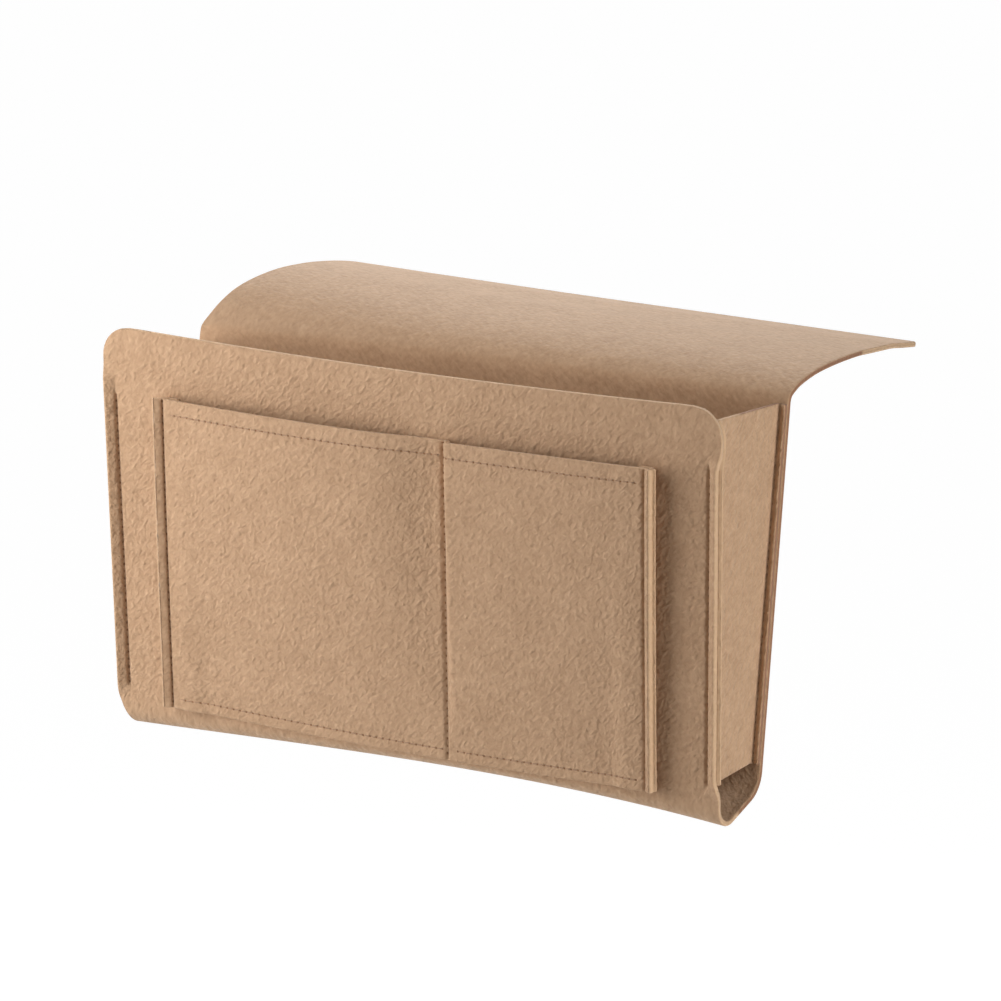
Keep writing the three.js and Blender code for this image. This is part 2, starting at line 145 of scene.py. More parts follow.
def front_rows(across):
    heights = [body_height - drop for drop in round_corner(corner_radius, corner_lines)[:-1]]
    heights += stretch(body_height - corner_radius, seam_foot + seam_easing, row_gap)
    heights += stretch(seam_foot + seam_easing, seam_foot - seam_easing / 2, row_gap / 2)
    rows = []
    for height in heights:
        tilt = margin_tilt(height)
        out = beyond(across, seam_x)
        narrow = 1 - corner_inset(corner_radius, body_height - height) / half_width
        x = (across - np.sign(across) * out * (1 - math.cos(tilt))) * narrow
        low = height - top_sag(across, height)
        y = front_y(low) - out * math.sin(tilt)
        rows.append(np.stack([draw_in(x, y, low), y, low + arch(across, height)], axis=1))
    return rows


def bottom_rows(across):
    front_fold_lines, slope_lines, back_fold_lines = 19, 9, 8
    front_radius, back_radius = front_fold - felt / 2, back_fold - felt / 2
    turn = math.atan(lean)
    start = front_fold - front_radius * math.sin(turn)
    centre_y = front_y(start) + front_radius * math.cos(turn)
    line = []
    for angle in np.linspace(math.pi + turn, 1.5 * math.pi + bottom_slope, front_fold_lines):
        line.append((centre_y + front_radius * math.cos(angle), front_fold + front_radius * math.sin(angle)))
    slope_end = back_y - back_radius * (1 - math.sin(bottom_slope))
    run = slope_end - line[-1][0]
    centre_z = line[-1][1] + run * math.tan(bottom_slope) + back_radius * math.cos(bottom_slope)
    foot_y, foot_z = line[-1]
    for share in np.linspace(0, 1, slope_lines)[1:-1]:
        line.append((foot_y + run * share, foot_z + run * share * math.tan(bottom_slope)))
    for angle in np.linspace(bottom_slope - math.pi / 2, 0, back_fold_lines):
        line.append((back_y - back_radius + back_radius * math.cos(angle),
                     centre_z + back_radius * math.sin(angle)))
    rows = []
    for y, height in line:
        x = draw_in(across, y, height)
        rows.append(np.stack([x, np.full_like(x, y), height + arch(across, height)], axis=1))
    return rows


def fold_share(x):
    return (x + half_width - left_back_inset) / (body_width - left_back_inset)


def fold_height(x):
    return fold_left + (fold_right - fold_left) * fold_share(x)


def back_rows(across, foot):
    back_lines = 60
    top = fold_height(draw_in(across, back_y, fold_left))
    rows = []
    for share in np.linspace(0, 1, back_lines)[1:-1]:
        height = foot + (top - foot) * share
        rows.append(np.stack([draw_in(across, back_y, height), np.full_like(across, back_y), height], axis=1))
    return rows


def line_through(points, place):
    """A point on the smooth line through some points; place counts the points from the first one."""
    known = [2 * points[0] - points[1], *points, 2 * points[-1] - points[-2]]
    first = min(int(place), len(points) - 2)
    a, b, c, d = known[first:first + 4]
    gap_ab, gap_bc, gap_cd = (math.sqrt(np.linalg.norm(q - p)) for p, q in ((a, b), (b, c), (c, d)))
    leave = ((b - a) / gap_ab - (c - a) / (gap_ab + gap_bc) + (c - b) / gap_bc) * gap_bc
    arrive = ((c - b) / gap_bc - (d - b) / (gap_bc + gap_cd) + (d - c) / gap_cd) * gap_bc
    t = place - first
    return (b + leave * t + (3 * (c - b) - 2 * leave - arrive) * t ** 2
            + (2 * (b - c) + leave + arrive) * t ** 3)


def flap_rows(across):
    left = [np.array(point) for point in left_flap_shares]
    right = [np.array(point) for point in right_flap_shares]
    share = fold_share(draw_in(across, back_y, fold_left))
    lengths = np.diff([y * (flap_reach - back_y) for y, _ in right_flap_shares])
    places = []
    for number, length in enumerate(lengths[:-1]):
        places += stretch(number, number + 1, min(1 / 3, row_gap / length))
    places += stretch(len(lengths) - 1, len(lengths) - flap_corner_radius / lengths[-1], 0.15)
    tip = round_corner(flap_corner_radius, corner_lines)
    places += [len(lengths) - from_end / lengths[-1] for from_end in reversed(tip)]
    rows = []
    for place in places:
        soft = smooth(share / soft_side_share)[:, None]
        y_share, z_share = (line_through(left, place) * (1 - soft) + line_through(right, place) * soft).T
        y = back_y + (flap_reach - back_y) * y_share
        corner = corner_inset(flap_corner_radius, flap_reach - y)
        left_edge = left_back_inset + (left_tip_inset - left_back_inset) * y_share + corner - half_width
        right_edge = half_width - right_tip_inset * y_share - corner
        x = left_edge + (right_edge - left_edge) * share
        level = body_height + left_flap_rise + (right_flap_rise - left_flap_rise) * fold_share(x)
        rows.append(np.stack([x, y, fold_height(x) + (level - fold_height(x)) * z_share], axis=1))
    return rows


def heading(points, axis):
    """The mean direction of a grid's lines at its points, shorter where a line turns."""
    leg = np.diff(points, axis=axis)
    leg /= np.linalg.norm(leg, axis=2, keepdims=True)
    before = np.concatenate([np.take(leg, [0], axis), leg], axis)
    after = np.concatenate([leg, np.take(leg, [-1], axis)], axis)
    return (before + after) / 2


def distances_along(points):
    return np.concatenate([[0], np.cumsum(np.linalg.norm(np.diff(points, axis=0), axis=1))])


class FoldedFelt:
    """A flat cut of felt and the place of its middle surface once it is folded and sewn."""

    def __init__(self, across, folded):
        self.across = np.array(across)
        self.folded = folded
        self.along = distances_along(folded[:, len(across) // 2])
        right, down = heading(folded, 1), heading(folded, 0)
        out = np.cross(right, down)
        out /= np.linalg.norm(out, axis=2, keepdims=True)
        turn = np.linalg.norm(right, axis=2, keepdims=True) * np.linalg.norm(down, axis=2, keepdims=True)
        self.out = out / turn
        run = np.array([distances_along(row) for row in folded])
        self.run = (run - run[:, [len(across) // 2]])[:, :, None]

    def read(self, grid, flat):
        """Values of a grid at points of the flat cut."""
        column = np.interp(flat[:, 0], self.across, range(len(self.across)))
        row = np.interp(flat[:, 1], self.along, range(len(self.along)))
        c = np.minimum(column.astype(int), len(self.across) - 2)
        r = np.minimum(row.astype(int), len(self.along) - 2)
        right, down = (column - c)[:, None], (row - r)[:, None]
        upper = grid[r, c] * (1 - right) + grid[r, c + 1] * right
        lower = grid[r + 1, c] * (1 - right) + grid[r + 1, c + 1] * right
        return upper * (1 - down) + lower * down

    def lay(self, flat):
        """Carries points (across, along, through the thickness) of the flat cut to the folded sheet."""
        flat = np.atleast_2d(flat)
        return self.read(self.folded, flat) + self.read(self.out, flat) * flat[:, 2:]

    def along_at(self, height, up_the_back=False):
        """How far along the flat cut a height is, on the way down the front or up again at the back."""
        heights = self.folded[:, len(self.across) // 2, 2]
        lowest = int(np.argmin(heights))
        if not up_the_back:
            return float(np.interp(-height, -heights[:lowest + 1], self.along[:lowest + 1]))
        highest = lowest + int(np.argmax(heights[lowest:]))
        return float(np.interp(height, heights[lowest:highest], self.along[lowest:highest]))

    def flat_at(self, x, height):
        """The flat cut's point that lies at this place across and up the front."""
        along = self.along_at(height)
        row = self.lay([(across, along, 0) for across in self.across])[:, 0]
        return float(np.interp(x, row, self.across)), along


def with_support(places):
    """Adds a line close to an end that has none, which keeps the rounding of the cut edge narrow."""
    first, last = list(places[:1]), list(places[-1:])
    if places[1] > places[0] + 1.5 * edge_support:
        first = [places[0], places[0] + edge_support]
    if places[-2] < places[-1] - 1.5 * edge_support:
        last = [places[-1] - edge_support, places[-1]]
    return np.array([*first, *places[1:-1], *last])


def cut_felt(sheet):
    """A flat slab of felt on the sheet's grid, with its cut edges slightly rounded."""
    across, along = with_support(sheet.across), with_support(sheet.along)
    bm = bmesh.new()
    bmesh.ops.create_grid(bm, x_segments=len(across) - 1, y_segments=len(along) - 1, size=0.5)
    for vert in bm.verts:
        vert.co.x = across[round((vert.co.x + 0.5) * (len(across) - 1))]
        vert.co.y = along[round((vert.co.y + 0.5) * (len(along) - 1))]
    bmesh.ops.translate(bm, verts=bm.verts, vec=(0, 0, felt / 2))
    bmesh.ops.solidify(bm, geom=bm.faces[:], thickness=felt)
    bmesh.ops.recalc_face_normals(bm, faces=bm.faces)
    rim = [edge for edge in bm.edges if edge.calc_face_angle(0) > math.radians(45)]
    bmesh.ops.bevel(bm, geom=rim, offset=edge_round, segments=2, profile=0.5, affect="EDGES", material=-1)
    return bm


def finished_piece(name, bm):
    """Turns a mesh in millimetres above the bottom fold into an object in metres about the middle height."""
    bmesh.ops.translate(bm, verts=bm.verts, vec=(0, 0, -middle_height))
    bmesh.ops.scale(bm, verts=bm.verts, vec=(mm, mm, mm))
    mesh = bpy.data.meshes.new(name)
    bm.to_mesh(mesh)
    bm.free()
    mesh.shade_smooth()
    piece = bpy.data.objects.new(name, mesh)
    bpy.context.scene.collection.objects.link(piece)
    return piece


def pull_in(flat, seams):
    """Thins the felt along its seams. A seam is its start, its end, how far it pulls in each face, and how
    much painted shade darkens the cut edge beside it, or None for an open crease with no stitches. Also
    returns, for each point, its distance from the nearest stitch line, how far along that it is, and that
    painted shade."""
    far_off = 99.0
    nearest = np.tile((far_off, 0.0, 0.0), (len(flat), 1))
    pulled = flat.copy()
    for start, end, lower_pull, upper_pull, edge_shade in seams:
        start, run = np.array(start), np.array(end) - start
        length = np.linalg.norm(run)
        along = np.clip((flat[:, :2] - start) @ run / length, 0, length)
        off = np.linalg.norm(flat[:, :2] - start - along[:, None] * run / length, axis=1)
        closer = (off < nearest[:, 0]) & (edge_shade is not None)
        nearest[closer] = np.stack([off, along, np.full_like(off, edge_shade or 0)], axis=1)[closer]
        for face, pull in ((-1, lower_pull), (1, upper_pull)):
            on_face = flat[:, 2] * face > 0
            pulled[on_face, 2] -= face * pull * np.exp(-(off[on_face] / pull_width) ** 2)
    return pulled, nearest


def fold_felt(name, sheet, seams=()):
    """Folds the flat slab into its place as a finished object that keeps its flat places for the finish."""
    bm = cut_felt(sheet)
    flat = np.array([vert.co for vert in bm.verts])
    flat_place = bm.verts.layers.float_vector.new("flat_place")
    stitch_place_and_shade = bm.verts.layers.float_vector.new("stitch_place_and_shade")
    pulled, stitches = pull_in(flat, seams)
    measured = np.hstack([sheet.read(sheet.run, flat), flat[:, 1:]])
    for vert, at, stitch, place in zip(bm.verts, measured, stitches, sheet.lay(pulled)):
        vert[flat_place] = at
        vert[stitch_place_and_shade] = stitch
        vert.co = place
    return finished_piece(name, bm)


def felt_finish(name):
    """Pressed wool: short fibres lying in all directions, coarser on the outer face, and a faint fuzz."""
    finish = bpy.data.materials.new(name)
    finish.use_nodes = True
    nodes, links = finish.node_tree.nodes, finish.node_tree.links
    surface = nodes["Principled BSDF"]
    place = nodes.new("ShaderNodeAttribute")
    place.attribute_name = "flat_place"
    dark_wool, light_wool, cut_wool = (0.43, 0.264, 0.152, 1), (0.57, 0.366, 0.224, 1), (0.66, 0.44, 0.265, 1)
    # Painted shade: for the cut edges beside the back seams, and for the needle holes.
    shaded_wool, painted_hole_shade = (0.3, 0.14, 0.075, 1), (0.27, 0.12, 0.05, 1)

    def turned(lengths, turn):
        mapping = nodes.new("ShaderNodeMapping")
        mapping.vector_type = "TEXTURE"
        mapping.inputs["Rotation"].default_value = (0, 0, turn)
        mapping.inputs["Scale"].default_value = lengths
        links.new(place.outputs["Vector"], mapping.inputs["Vector"])
        return mapping.outputs["Vector"]

    def noise(vector, scale, detail, distortion=0.0):
        texture = nodes.new("ShaderNodeTexNoise")
        texture.inputs["Scale"].default_value = scale
        texture.inputs["Detail"].default_value = detail
        texture.inputs["Distortion"].default_value = distortion
        links.new(vector, texture.inputs["Vector"])
        return texture.outputs["Fac"]

    def maths(operation, *values):
        node = nodes.new("ShaderNodeMath")
        node.operation = operation
        for socket, value in zip(node.inputs, values):
            if isinstance(value, (int, float)):
                socket.default_value = value
            else:
                links.new(value, socket)
        return node.outputs[0]

    def fade(value, full, none):
        """One where the value is at most full, nothing where it is at least none."""
        ranged = nodes.new("ShaderNodeMapRange")
        ranged.interpolation_type = "SMOOTHSTEP"
        ranged.inputs["From Min"].default_value = full
        ranged.inputs["From Max"].default_value = none
        ranged.inputs["To Min"].default_value = 1
        ranged.inputs["To Max"].default_value = 0
        links.new(value, ranged.inputs["Value"])
        return ranged.outputs["Result"]

    def tint(amount, under, over):
        mix = nodes.new("ShaderNodeMix")
        mix.data_type = "RGBA"
        links.new(amount, mix.inputs["Factor"])
        links.new(under, mix.inputs["A"])
        mix.inputs["B"].default_value = over
        return mix.outputs["Result"]

    # Three layers of strands, each with its turn in degrees and its share of the whole.
    strand_size, fibres = (1.9, 4.4, 1.9), 0
    for turn, share in ((48, 0.45), (12, 0.3), (-40, 0.25)):
        strands = noise(turned(strand_size, math.radians(turn)), 1, 1, 0.3)
        fibres = maths("ADD", fibres, maths("MULTIPLY", strands, share))
    specks = noise(place.outputs["Vector"], 0.5, 2, 0.2)
    mottle = noise(place.outputs["Vector"], 0.05, 2)
    tone = maths("ADD", maths("MULTIPLY", fibres, 0.5),
                 maths("ADD", maths("MULTIPLY", specks, 0.3), maths("MULTIPLY", mottle, 0.2)))
    ramp = nodes.new("ShaderNodeValToRGB")
    ramp.color_ramp.elements[0].position = 0.36
    ramp.color_ramp.elements[0].color = dark_wool
    ramp.color_ramp.elements[1].position = 0.64
    ramp.color_ramp.elements[1].color = light_wool
    links.new(tone, ramp.inputs["Fac"])

    # Needle holes lie between the stitches, on the seam's line. Their shade is painted dark into the felt's
    # colour, and they dip in the bump.
    stitch = nodes.new("ShaderNodeAttribute")
    stitch.attribute_name = "stitch_place_and_shade"
    stitch_parts = nodes.new("ShaderNodeSeparateXYZ")
    links.new(stitch.outputs["Vector"], stitch_parts.inputs["Vector"])
    on_the_line = fade(stitch_parts.outputs["X"], 0.2, 0.65)
    at_a_hole = fade(maths("PINGPONG", stitch_parts.outputs["Y"], stitch_pitch / 2), 0.3, 0.75)
    holes = maths("MULTIPLY", on_the_line, at_a_hole)

    # The cut edges are paler than the faces. Beside the back seams they are darkened with painted shade,
    # the shade that lies on the back margins behind the gussets.
    through = nodes.new("ShaderNodeSeparateXYZ")
    links.new(place.outputs["Vector"], through.inputs["Vector"])
    cut = fade(maths("ABSOLUTE", through.outputs["Z"]), felt / 2 - 0.5, felt / 2 - 0.1)
    with_cut = tint(maths("MULTIPLY", cut, 0.8), ramp.outputs["Color"], cut_wool)
    painted_edge_shade = maths("MULTIPLY", cut, stitch_parts.outputs["Z"])
    with_shade = tint(maths("MULTIPLY", painted_edge_shade, 0.9), with_cut, shaded_wool)
    # Painted shade in the needle holes.
    with_hole_shade = tint(maths("MULTIPLY", holes, 0.8), with_shade, painted_hole_shade)
    links.new(with_hole_shade, surface.inputs["Base Color"])

    # The fibres stand out more on the outer face than on the inner one.
    outer = fade(through.outputs["Z"], -0.6, 0.6)
    relief = maths("ADD", maths("MULTIPLY", fibres, 0.8), maths("MULTIPLY", specks, 0.15))
    relief = maths("MULTIPLY", relief, maths("ADD", maths("MULTIPLY", outer, 0.6), 0.75))
    bump = nodes.new("ShaderNodeBump")
    bump.inputs["Strength"].default_value = 1
    bump.inputs["Distance"].default_value = 0.0018
    links.new(maths("SUBTRACT", relief, maths("MULTIPLY", holes, 0.25)), bump.inputs["Height"])
    links.new(bump.outputs["Normal"], surface.inputs["Normal"])
    surface.inputs["Roughness"].default_value = 0.95
    surface.inputs["Specular IOR Level"].default_value = 0.3
    surface.inputs["Sheen Weight"].default_value = 0.2
    surface.inputs["Sheen Roughness"].default_value = 0.5
    surface.inputs["Sheen Tint"].default_value = (1, 0.93, 0.82, 1)
    return finish


wool_felt = felt_finish("wool_felt")
column_gap, crease_reach, crease_gap = 3.2, 3, 0.6
half_across = [0] + stretch(0, seam_x - crease_reach, column_gap)[1:]
half_across += stretch(seam_x - crease_reach, seam_x + crease_reach, crease_gap)
half_across += [seam_x + crease_reach, half_width]
body_across = np.array([-x for x in reversed(half_across[1:])] + half_across)
pouch_rows = front_rows(body_across) + bottom_rows(body_across)
pouch_rows += back_rows(body_across, pouch_rows[-1][:, 2].mean())
body = FoldedFelt(body_across, np.array(pouch_rows + flap_rows(body_across)))
sides = (("left", -1), ("right", 1))
front_seam_tops, front_seam_foot = {"left": 160, "right": 164}, 20
back_seam_x, back_seam_top, back_seam_foot = 162, 175, 25
front_seam_pull, back_seam_pull, inner_pull = 1.7, 0.4, 0.2
front_seams, back_seams = {}, {}
for side, sign in sides:
    front_seams[side] = ((sign * seam_x, body.along_at(front_seam_tops[side])),
                         (sign * seam_x, body.along_at(front_seam_foot)))
    back_seams[side] = ((sign * back_seam_x, body.along_at(back_seam_foot, up_the_back=True)),
                        (sign * back_seam_x, body.along_at(back_seam_top, up_the_back=True)))
body_pulls = [(*line, front_seam_pull, inner_pull, 0) for line in front_seams.values()]
# The cut edges beside the back seams get painted shade.
body_pulls += [(*line, back_seam_pull, inner_pull, 1) for line in back_seams.values()]
body_sheet = fold_felt("body_sheet", body, body_pulls)
body_sheet.data.materials.append(wool_felt)
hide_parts("main_panel", "flap_panel")
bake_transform(body_sheet)

# Gussets. Two tapered strips of the same felt close the sides; their long margins are bent outward and sewn
# to the margins of the body sheet, the front ones tilted forward with it.
layer_gap = 0.3
layer = felt + layer_gap
gusset_bend = 1.6
gusset_front_top, gusset_foot, gusset_foot_rise = 186.4, 20, 4.5
left_gusset_back_top, right_gusset_back_top = fold_left - 7, fold_right - 0.9
gusset_edge_step, back_gap = 0.3, 0.05
gusset_lines, gusset_wall_lines, gusset_bend_lines = 64, 16, 7
gusset_front_seam_start, gusset_back_seam_start = 31, 17
gusset_front_seam_step, gusset_back_seam_step = 0.8, 0.3
gusset_front_pull, gusset_back_pull, gusset_crease_pull, gusset_inner_pull = 0.7, 1.5, 1.9, 0.1
gusset_wall_x = seam_x + layer * math.sin(seam_tilt) - gusset_bend * (1 - math.sin(seam_tilt))


def bend_of_gusset(centre, start, end):
    return [(centre[0] - gusset_bend * math.sin(turn), centre[1] - gusset_bend * math.cos(turn))
            for turn in np.linspace(start, end, gusset_bend_lines)]


def gusset_front_line(height):
    tilt = margin_tilt(height)

    def on_margin(x):
        return x, front_y(height) + layer / math.cos(tilt) - (x - seam_x) * math.tan(tilt)

    margin_x = seam_x + layer * math.sin(tilt) + (seam_margin - gusset_edge_step) * math.cos(tilt)
    corner_x = half_width - corner_inset(corner_radius, body_height - height) - gusset_edge_step
    edge = on_margin(min(margin_x, corner_x))
    x, y = on_margin(gusset_wall_x + gusset_bend * (1 - math.sin(tilt)))
    centre = x + gusset_bend * math.sin(tilt), y + gusset_bend * math.cos(tilt)
    bend = bend_of_gusset(centre, tilt, math.pi / 2)
    margin = [tuple(np.array(edge) + (np.array(bend[0]) - edge) * share) for share in (0, 0.4, 0.8)]
    return margin + bend


def gusset_back_line():
    y = back_y - felt - back_gap
    centre = gusset_wall_x + gusset_bend, y - gusset_bend
    bend = bend_of_gusset(centre, math.pi / 2, math.pi)
    return bend + [(bend[-1][0] + 1.5, y), (half_width - gusset_edge_step, y)]


def gusset_sheet(sign, back_top):
    rows = []
    for height in np.linspace(gusset_front_top, gusset_foot, gusset_lines):
        share = (height - gusset_foot) / (gusset_front_top - gusset_foot)
        back_height = gusset_foot + gusset_foot_rise + (back_top - gusset_foot - gusset_foot_rise) * share
        front = [(float(draw_in(sign * x, y, height)), y, height) for x, y in gusset_front_line(height)]
        back = [(float(draw_in(sign * x, y, back_height)), y, back_height) for x, y in gusset_back_line()]
        front_end, back_start = np.array(front[-1]), np.array(back[0])
        parts = np.linspace(0, 1, gusset_wall_lines)[1:-1]
        wall = [front_end + (back_start - front_end) * part for part in parts]
        rows.append(np.array(front + wall + back))
    return FoldedFelt(distances_along(rows[len(rows) // 2]), np.array(rows))


gussets, gusset_front_seams, gusset_back_seams, gusset_creases = {}, {}, {}, {}
for side, sign, back_top in (("left", -1, left_gusset_back_top), ("right", 1, right_gusset_back_top)):
    gussets[side] = gusset_sheet(sign, back_top)
    across, long_edge = gussets[side].across, gussets[side].along[-1]
    # The margins end in their bends at the fourth column from the front and the third from the back.
    front_x, back_x = across[3] - gusset_front_seam_step, across[-3] + gusset_back_seam_step
    gusset_front_seams[side] = (front_x, gusset_front_seam_start), (front_x, long_edge)
    gusset_back_seams[side] = (back_x, gusset_back_seam_start), (back_x, long_edge)
    gusset_creases[side] = (back_x, 0), (back_x, gusset_back_seam_start)
    gusset_pulls = []
    # The gusset's cut edges beside its back seam get painted shade.
    for line, outer_pull, shade in ((gusset_front_seams[side], gusset_front_pull, 0),
                                    (gusset_back_seams[side], gusset_back_pull, 1),
                                    (gusset_creases[side], gusset_crease_pull, None)):
        pulls = (outer_pull, gusset_inner_pull) if sign > 0 else (gusset_inner_pull, outer_pull)
        gusset_pulls.append((*line, *pulls, shade))
    gusset = fold_felt(f"{side}_gusset_felt", gussets[side], gusset_pulls)
    gusset.data.materials.append(wool_felt)
    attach(gusset, "pouch")
    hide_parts(f"{side}_gusset")

# Front pocket. One sheet of felt with two compartments: its left part swells a little, its right part stands
# proud in a step beside the divider seam, and its side margins tilt forward.
pocket_left, pocket_right, divider_x = -127.5, 130.5, 24.5
pocket_top, pocket_foot = 162, 13
pocket_top_sag, pocket_foot_sag, pocket_right_foot_inset = 1.3, 2.6, 1.4
pocket_margin, pocket_side_step, side_stand, side_foot = 5, 2, 6.5, 6
left_bulge, right_stand = 3.5, 8
divider_fall, divider_step, divider_seat = 38, 4, 3.4
side_easing = 12
hem_top, hem_foot, hem_end = pocket_top - 7, pocket_foot + 5, 4
hem_pull, upright_pull = 0.45, 1.5
on_panel = felt / 2 + layer_gap
side_rest = on_panel + layer + layer_gap


def front_face_y(height):
    return front_y(height) - felt / 2


def pocket_rise(height):
    return math.sin(min(max((height - hem_foot) / (pocket_top - hem_foot), 0), 1) * math.pi / 2)


def side_offset(height):
    return side_rest + (side_stand - side_rest) * pocket_rise(height)


def pocket_offset(x, height):
    """How far the pocket's middle surface stands in front of the front panel's face."""
    from_seam = min(x - pocket_left, pocket_right - x)
    rest = side_rest + (on_panel - side_rest) * smooth((from_seam - side_foot - layer) / side_easing)
    if x < divider_x:
        swell = side_stand + left_bulge * math.sin(math.pi * (x - pocket_left) / (divider_x - pocket_left))
        stand = on_panel + (swell - on_panel) * smooth((divider_x - divider_seat - x) / divider_fall)
    else:
        share = (x - divider_x) / (pocket_right - divider_x)
        stand = right_stand + (side_stand - right_stand) * share
        stand = on_panel + (stand - on_panel) * smooth((x - divider_x) / divider_step)
    return rest + (stand - rest) * pocket_rise(height)


def pocket_seam_x(sign, height):
    if sign < 0:
        return pocket_left
    return pocket_right - pocket_right_foot_inset * (pocket_top - height) / (pocket_top - pocket_foot)


def pocket_sag(x, height):
    across = 1 - (2 * (x - pocket_left) / (pocket_right - pocket_left) - 1) ** 2
    up = (height - pocket_foot) / (pocket_top - pocket_foot)
    return (pocket_foot_sag + (pocket_top_sag - pocket_foot_sag) * up) * across


def pocket_sheet():
    # Where the columns change their spacing, and the spacing from there on.
    stops = [(pocket_left - pocket_margin, 0.6), (pocket_left + 3, 1.75), (pocket_left + 24, 3),
             (divider_x - 8, 0.8), (divider_x + 8, 3), (pocket_right - 24, 1.75), (pocket_right - 3, 0.6)]
    ends = [start for start, _ in stops[1:]] + [pocket_right + pocket_margin]
    across = [x for (start, gap), end in zip(stops, ends) for x in stretch(start, end, gap)] + ends[-1:]
    rows = []
    heights = stretch(pocket_top, hem_top, 1) + stretch(hem_top, hem_foot, row_gap)
    heights += stretch(hem_foot, pocket_foot, 1) + [pocket_foot]
    for height in heights:
        row = []
        for x in across:
            inside = min(max(x, pocket_left), pocket_right)
            out = abs(x - inside)
            sign = 1 if x > 0 else -1
            offset = pocket_offset(inside, height) if not out else side_offset(height)
            drawn_in = pocket_right - pocket_seam_x(1, height)
            drawn_in *= max(inside - divider_x, 0) / (pocket_right - divider_x)
            low = height - pocket_sag(inside, height)
            row.append((inside - drawn_in + sign * out * math.cos(seam_tilt),
                        front_face_y(low) - offset - out * math.sin(seam_tilt), low))
        rows.append(row)
    return FoldedFelt(across, np.array(rows))


def pocket_place(x, height):
    """The flat cut's point across at x, on the row that lies at this height beside the side seams."""
    middle = pocket.across[len(pocket.across) // 2]
    return pocket.flat_at(x, height - pocket_sag(middle, height))


pocket = pocket_sheet()
divider_seam_x = divider_x - divider_seat / 2
spans = {"left": (pocket_left + hem_end, divider_x - hem_end),
         "right": (divider_x + hem_end, pocket_right - hem_end)}
hem_seams = {side: [pocket_place(x, hem_top) for x in span] for side, span in spans.items()}
foot_hem_seams = {side: [pocket_place(x, hem_foot) for x in span] for side, span in spans.items()}
upright_seams = {name: [pocket_place(top_x, pocket_top - 1), pocket_place(foot_x, pocket_foot + 1)]
                 for name, top_x, foot_x in (("left", pocket_left, pocket_left),
                                             ("divider", divider_seam_x, divider_seam_x),
                                             ("right", pocket_right, pocket_seam_x(1, pocket_foot)))}
pocket_pulls = [(*line, hem_pull, inner_pull, 0) for line in (*hem_seams.values(), *foot_hem_seams.values())]
pocket_pulls += [(*line, upright_pull, inner_pull, 0) for line in upright_seams.values()]
pocket_felt = fold_felt("pocket_felt", pocket, pocket_pulls)
pocket_felt.data.materials.append(wool_felt)
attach(pocket_felt, "pouch")
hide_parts("pocket_panel")

# Pocket sides. A narrow folded strip of the felt closes each side of the pocket: one margin lies behind the
# pocket's and is sewn to it, and its foot is sewn to the front panel.
strip_lines, strip_seam_step, strip_pull = 50, 0.8, 0.5


def pocket_side_sheet(sign):
    rows = []
    for height in np.linspace(pocket_top, pocket_foot, strip_lines):
        base_x = pocket_seam_x(sign, height) + sign * layer * math.sin(seam_tilt)
        base_y = front_face_y(height) - side_offset(height) + layer * math.cos(seam_tilt)
        reach = pocket_margin - pocket_side_step
        edge = np.array([base_x + sign * reach * math.cos(seam_tilt), base_y - reach * math.sin(seam_tilt)])
        base = np.array([base_x, base_y])
        foot_y = front_face_y(height) - on_panel
        corner = np.array([base_x - sign * felt / 2, foot_y])
        end = np.array([base_x - sign * (felt / 2 + side_foot), foot_y])
        line = [edge, edge + (base - edge) * 0.5, base, corner, corner + (end - corner) * 0.5, end]
        rows.append([(x, y, height) for x, y in line])
    return FoldedFelt(distances_along(rows[len(rows) // 2]), np.array(rows))


strips, strip_seams, strip_foot_seams = {}, {}, {}
for side, sign in sides:
    strips[side] = strip = pocket_side_sheet(sign)
    strip_seam_x, strip_foot_x = strip.across[2] - strip_seam_step, strip.across[-1] - side_foot / 2
    strip_seams[side] = (strip_seam_x, 1), (strip_seam_x, strip.along[-1] - 1)
    strip_foot_seams[side] = (strip_foot_x, 1), (strip_foot_x, strip.along[-1] - 1)
    pulls = (strip_pull, inner_pull) if sign > 0 else (inner_pull, strip_pull)
    pocket_side = fold_felt(f"{side}_pocket_side_felt", strip, [(*strip_seams[side], *pulls, 0)])
    pocket_side.data.materials.append(wool_felt)
    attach(pocket_side, "pouch")
    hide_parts(f"{side}_pocket_side")

# Sewing. Lockstitched with a thread in the felt's colour: on each face a row of short stitches sunk in the
# felt, with the needle holes between them. Every row stands for the thread of one seam.
stitch_length, stitch_radius, stitch_sink = 2.9, 0.34, 0.05


def thread_finish(name):
    """Twisted thread: fine slanting plies on a slightly glossy yarn."""
    finish = bpy.data.materials.new(name)
    finish.use_nodes = True
    nodes, links = finish.node_tree.nodes, finish.node_tree.links
    surface = nodes["Principled BSDF"]
    place = nodes.new("ShaderNodeTexCoord")
    plies = nodes.new("ShaderNodeTexWave")
    plies.bands_direction = "DIAGONAL"
    plies.inputs["Scale"].default_value = 900
    plies.inputs["Distortion"].default_value = 1
    links.new(place.outputs["Object"], plies.inputs["Vector"])
    ramp = nodes.new("ShaderNodeValToRGB")
    ramp.color_ramp.elements[0].color = (0.3, 0.17, 0.095, 1)
    ramp.color_ramp.elements[1].color = (0.5, 0.31, 0.19, 1)
    links.new(plies.outputs["Fac"], ramp.inputs["Fac"])
    links.new(ramp.outputs["Color"], surface.inputs["Base Color"])
    bump = nodes.new("ShaderNodeBump")
    bump.inputs["Strength"].default_value = 0.5
    bump.inputs["Distance"].default_value = 0.0001
    links.new(plies.outputs["Fac"], bump.inputs["Height"])
    links.new(bump.outputs["Normal"], surface.inputs["Normal"])
    surface.inputs["Roughness"].default_value = 0.7
    return finish


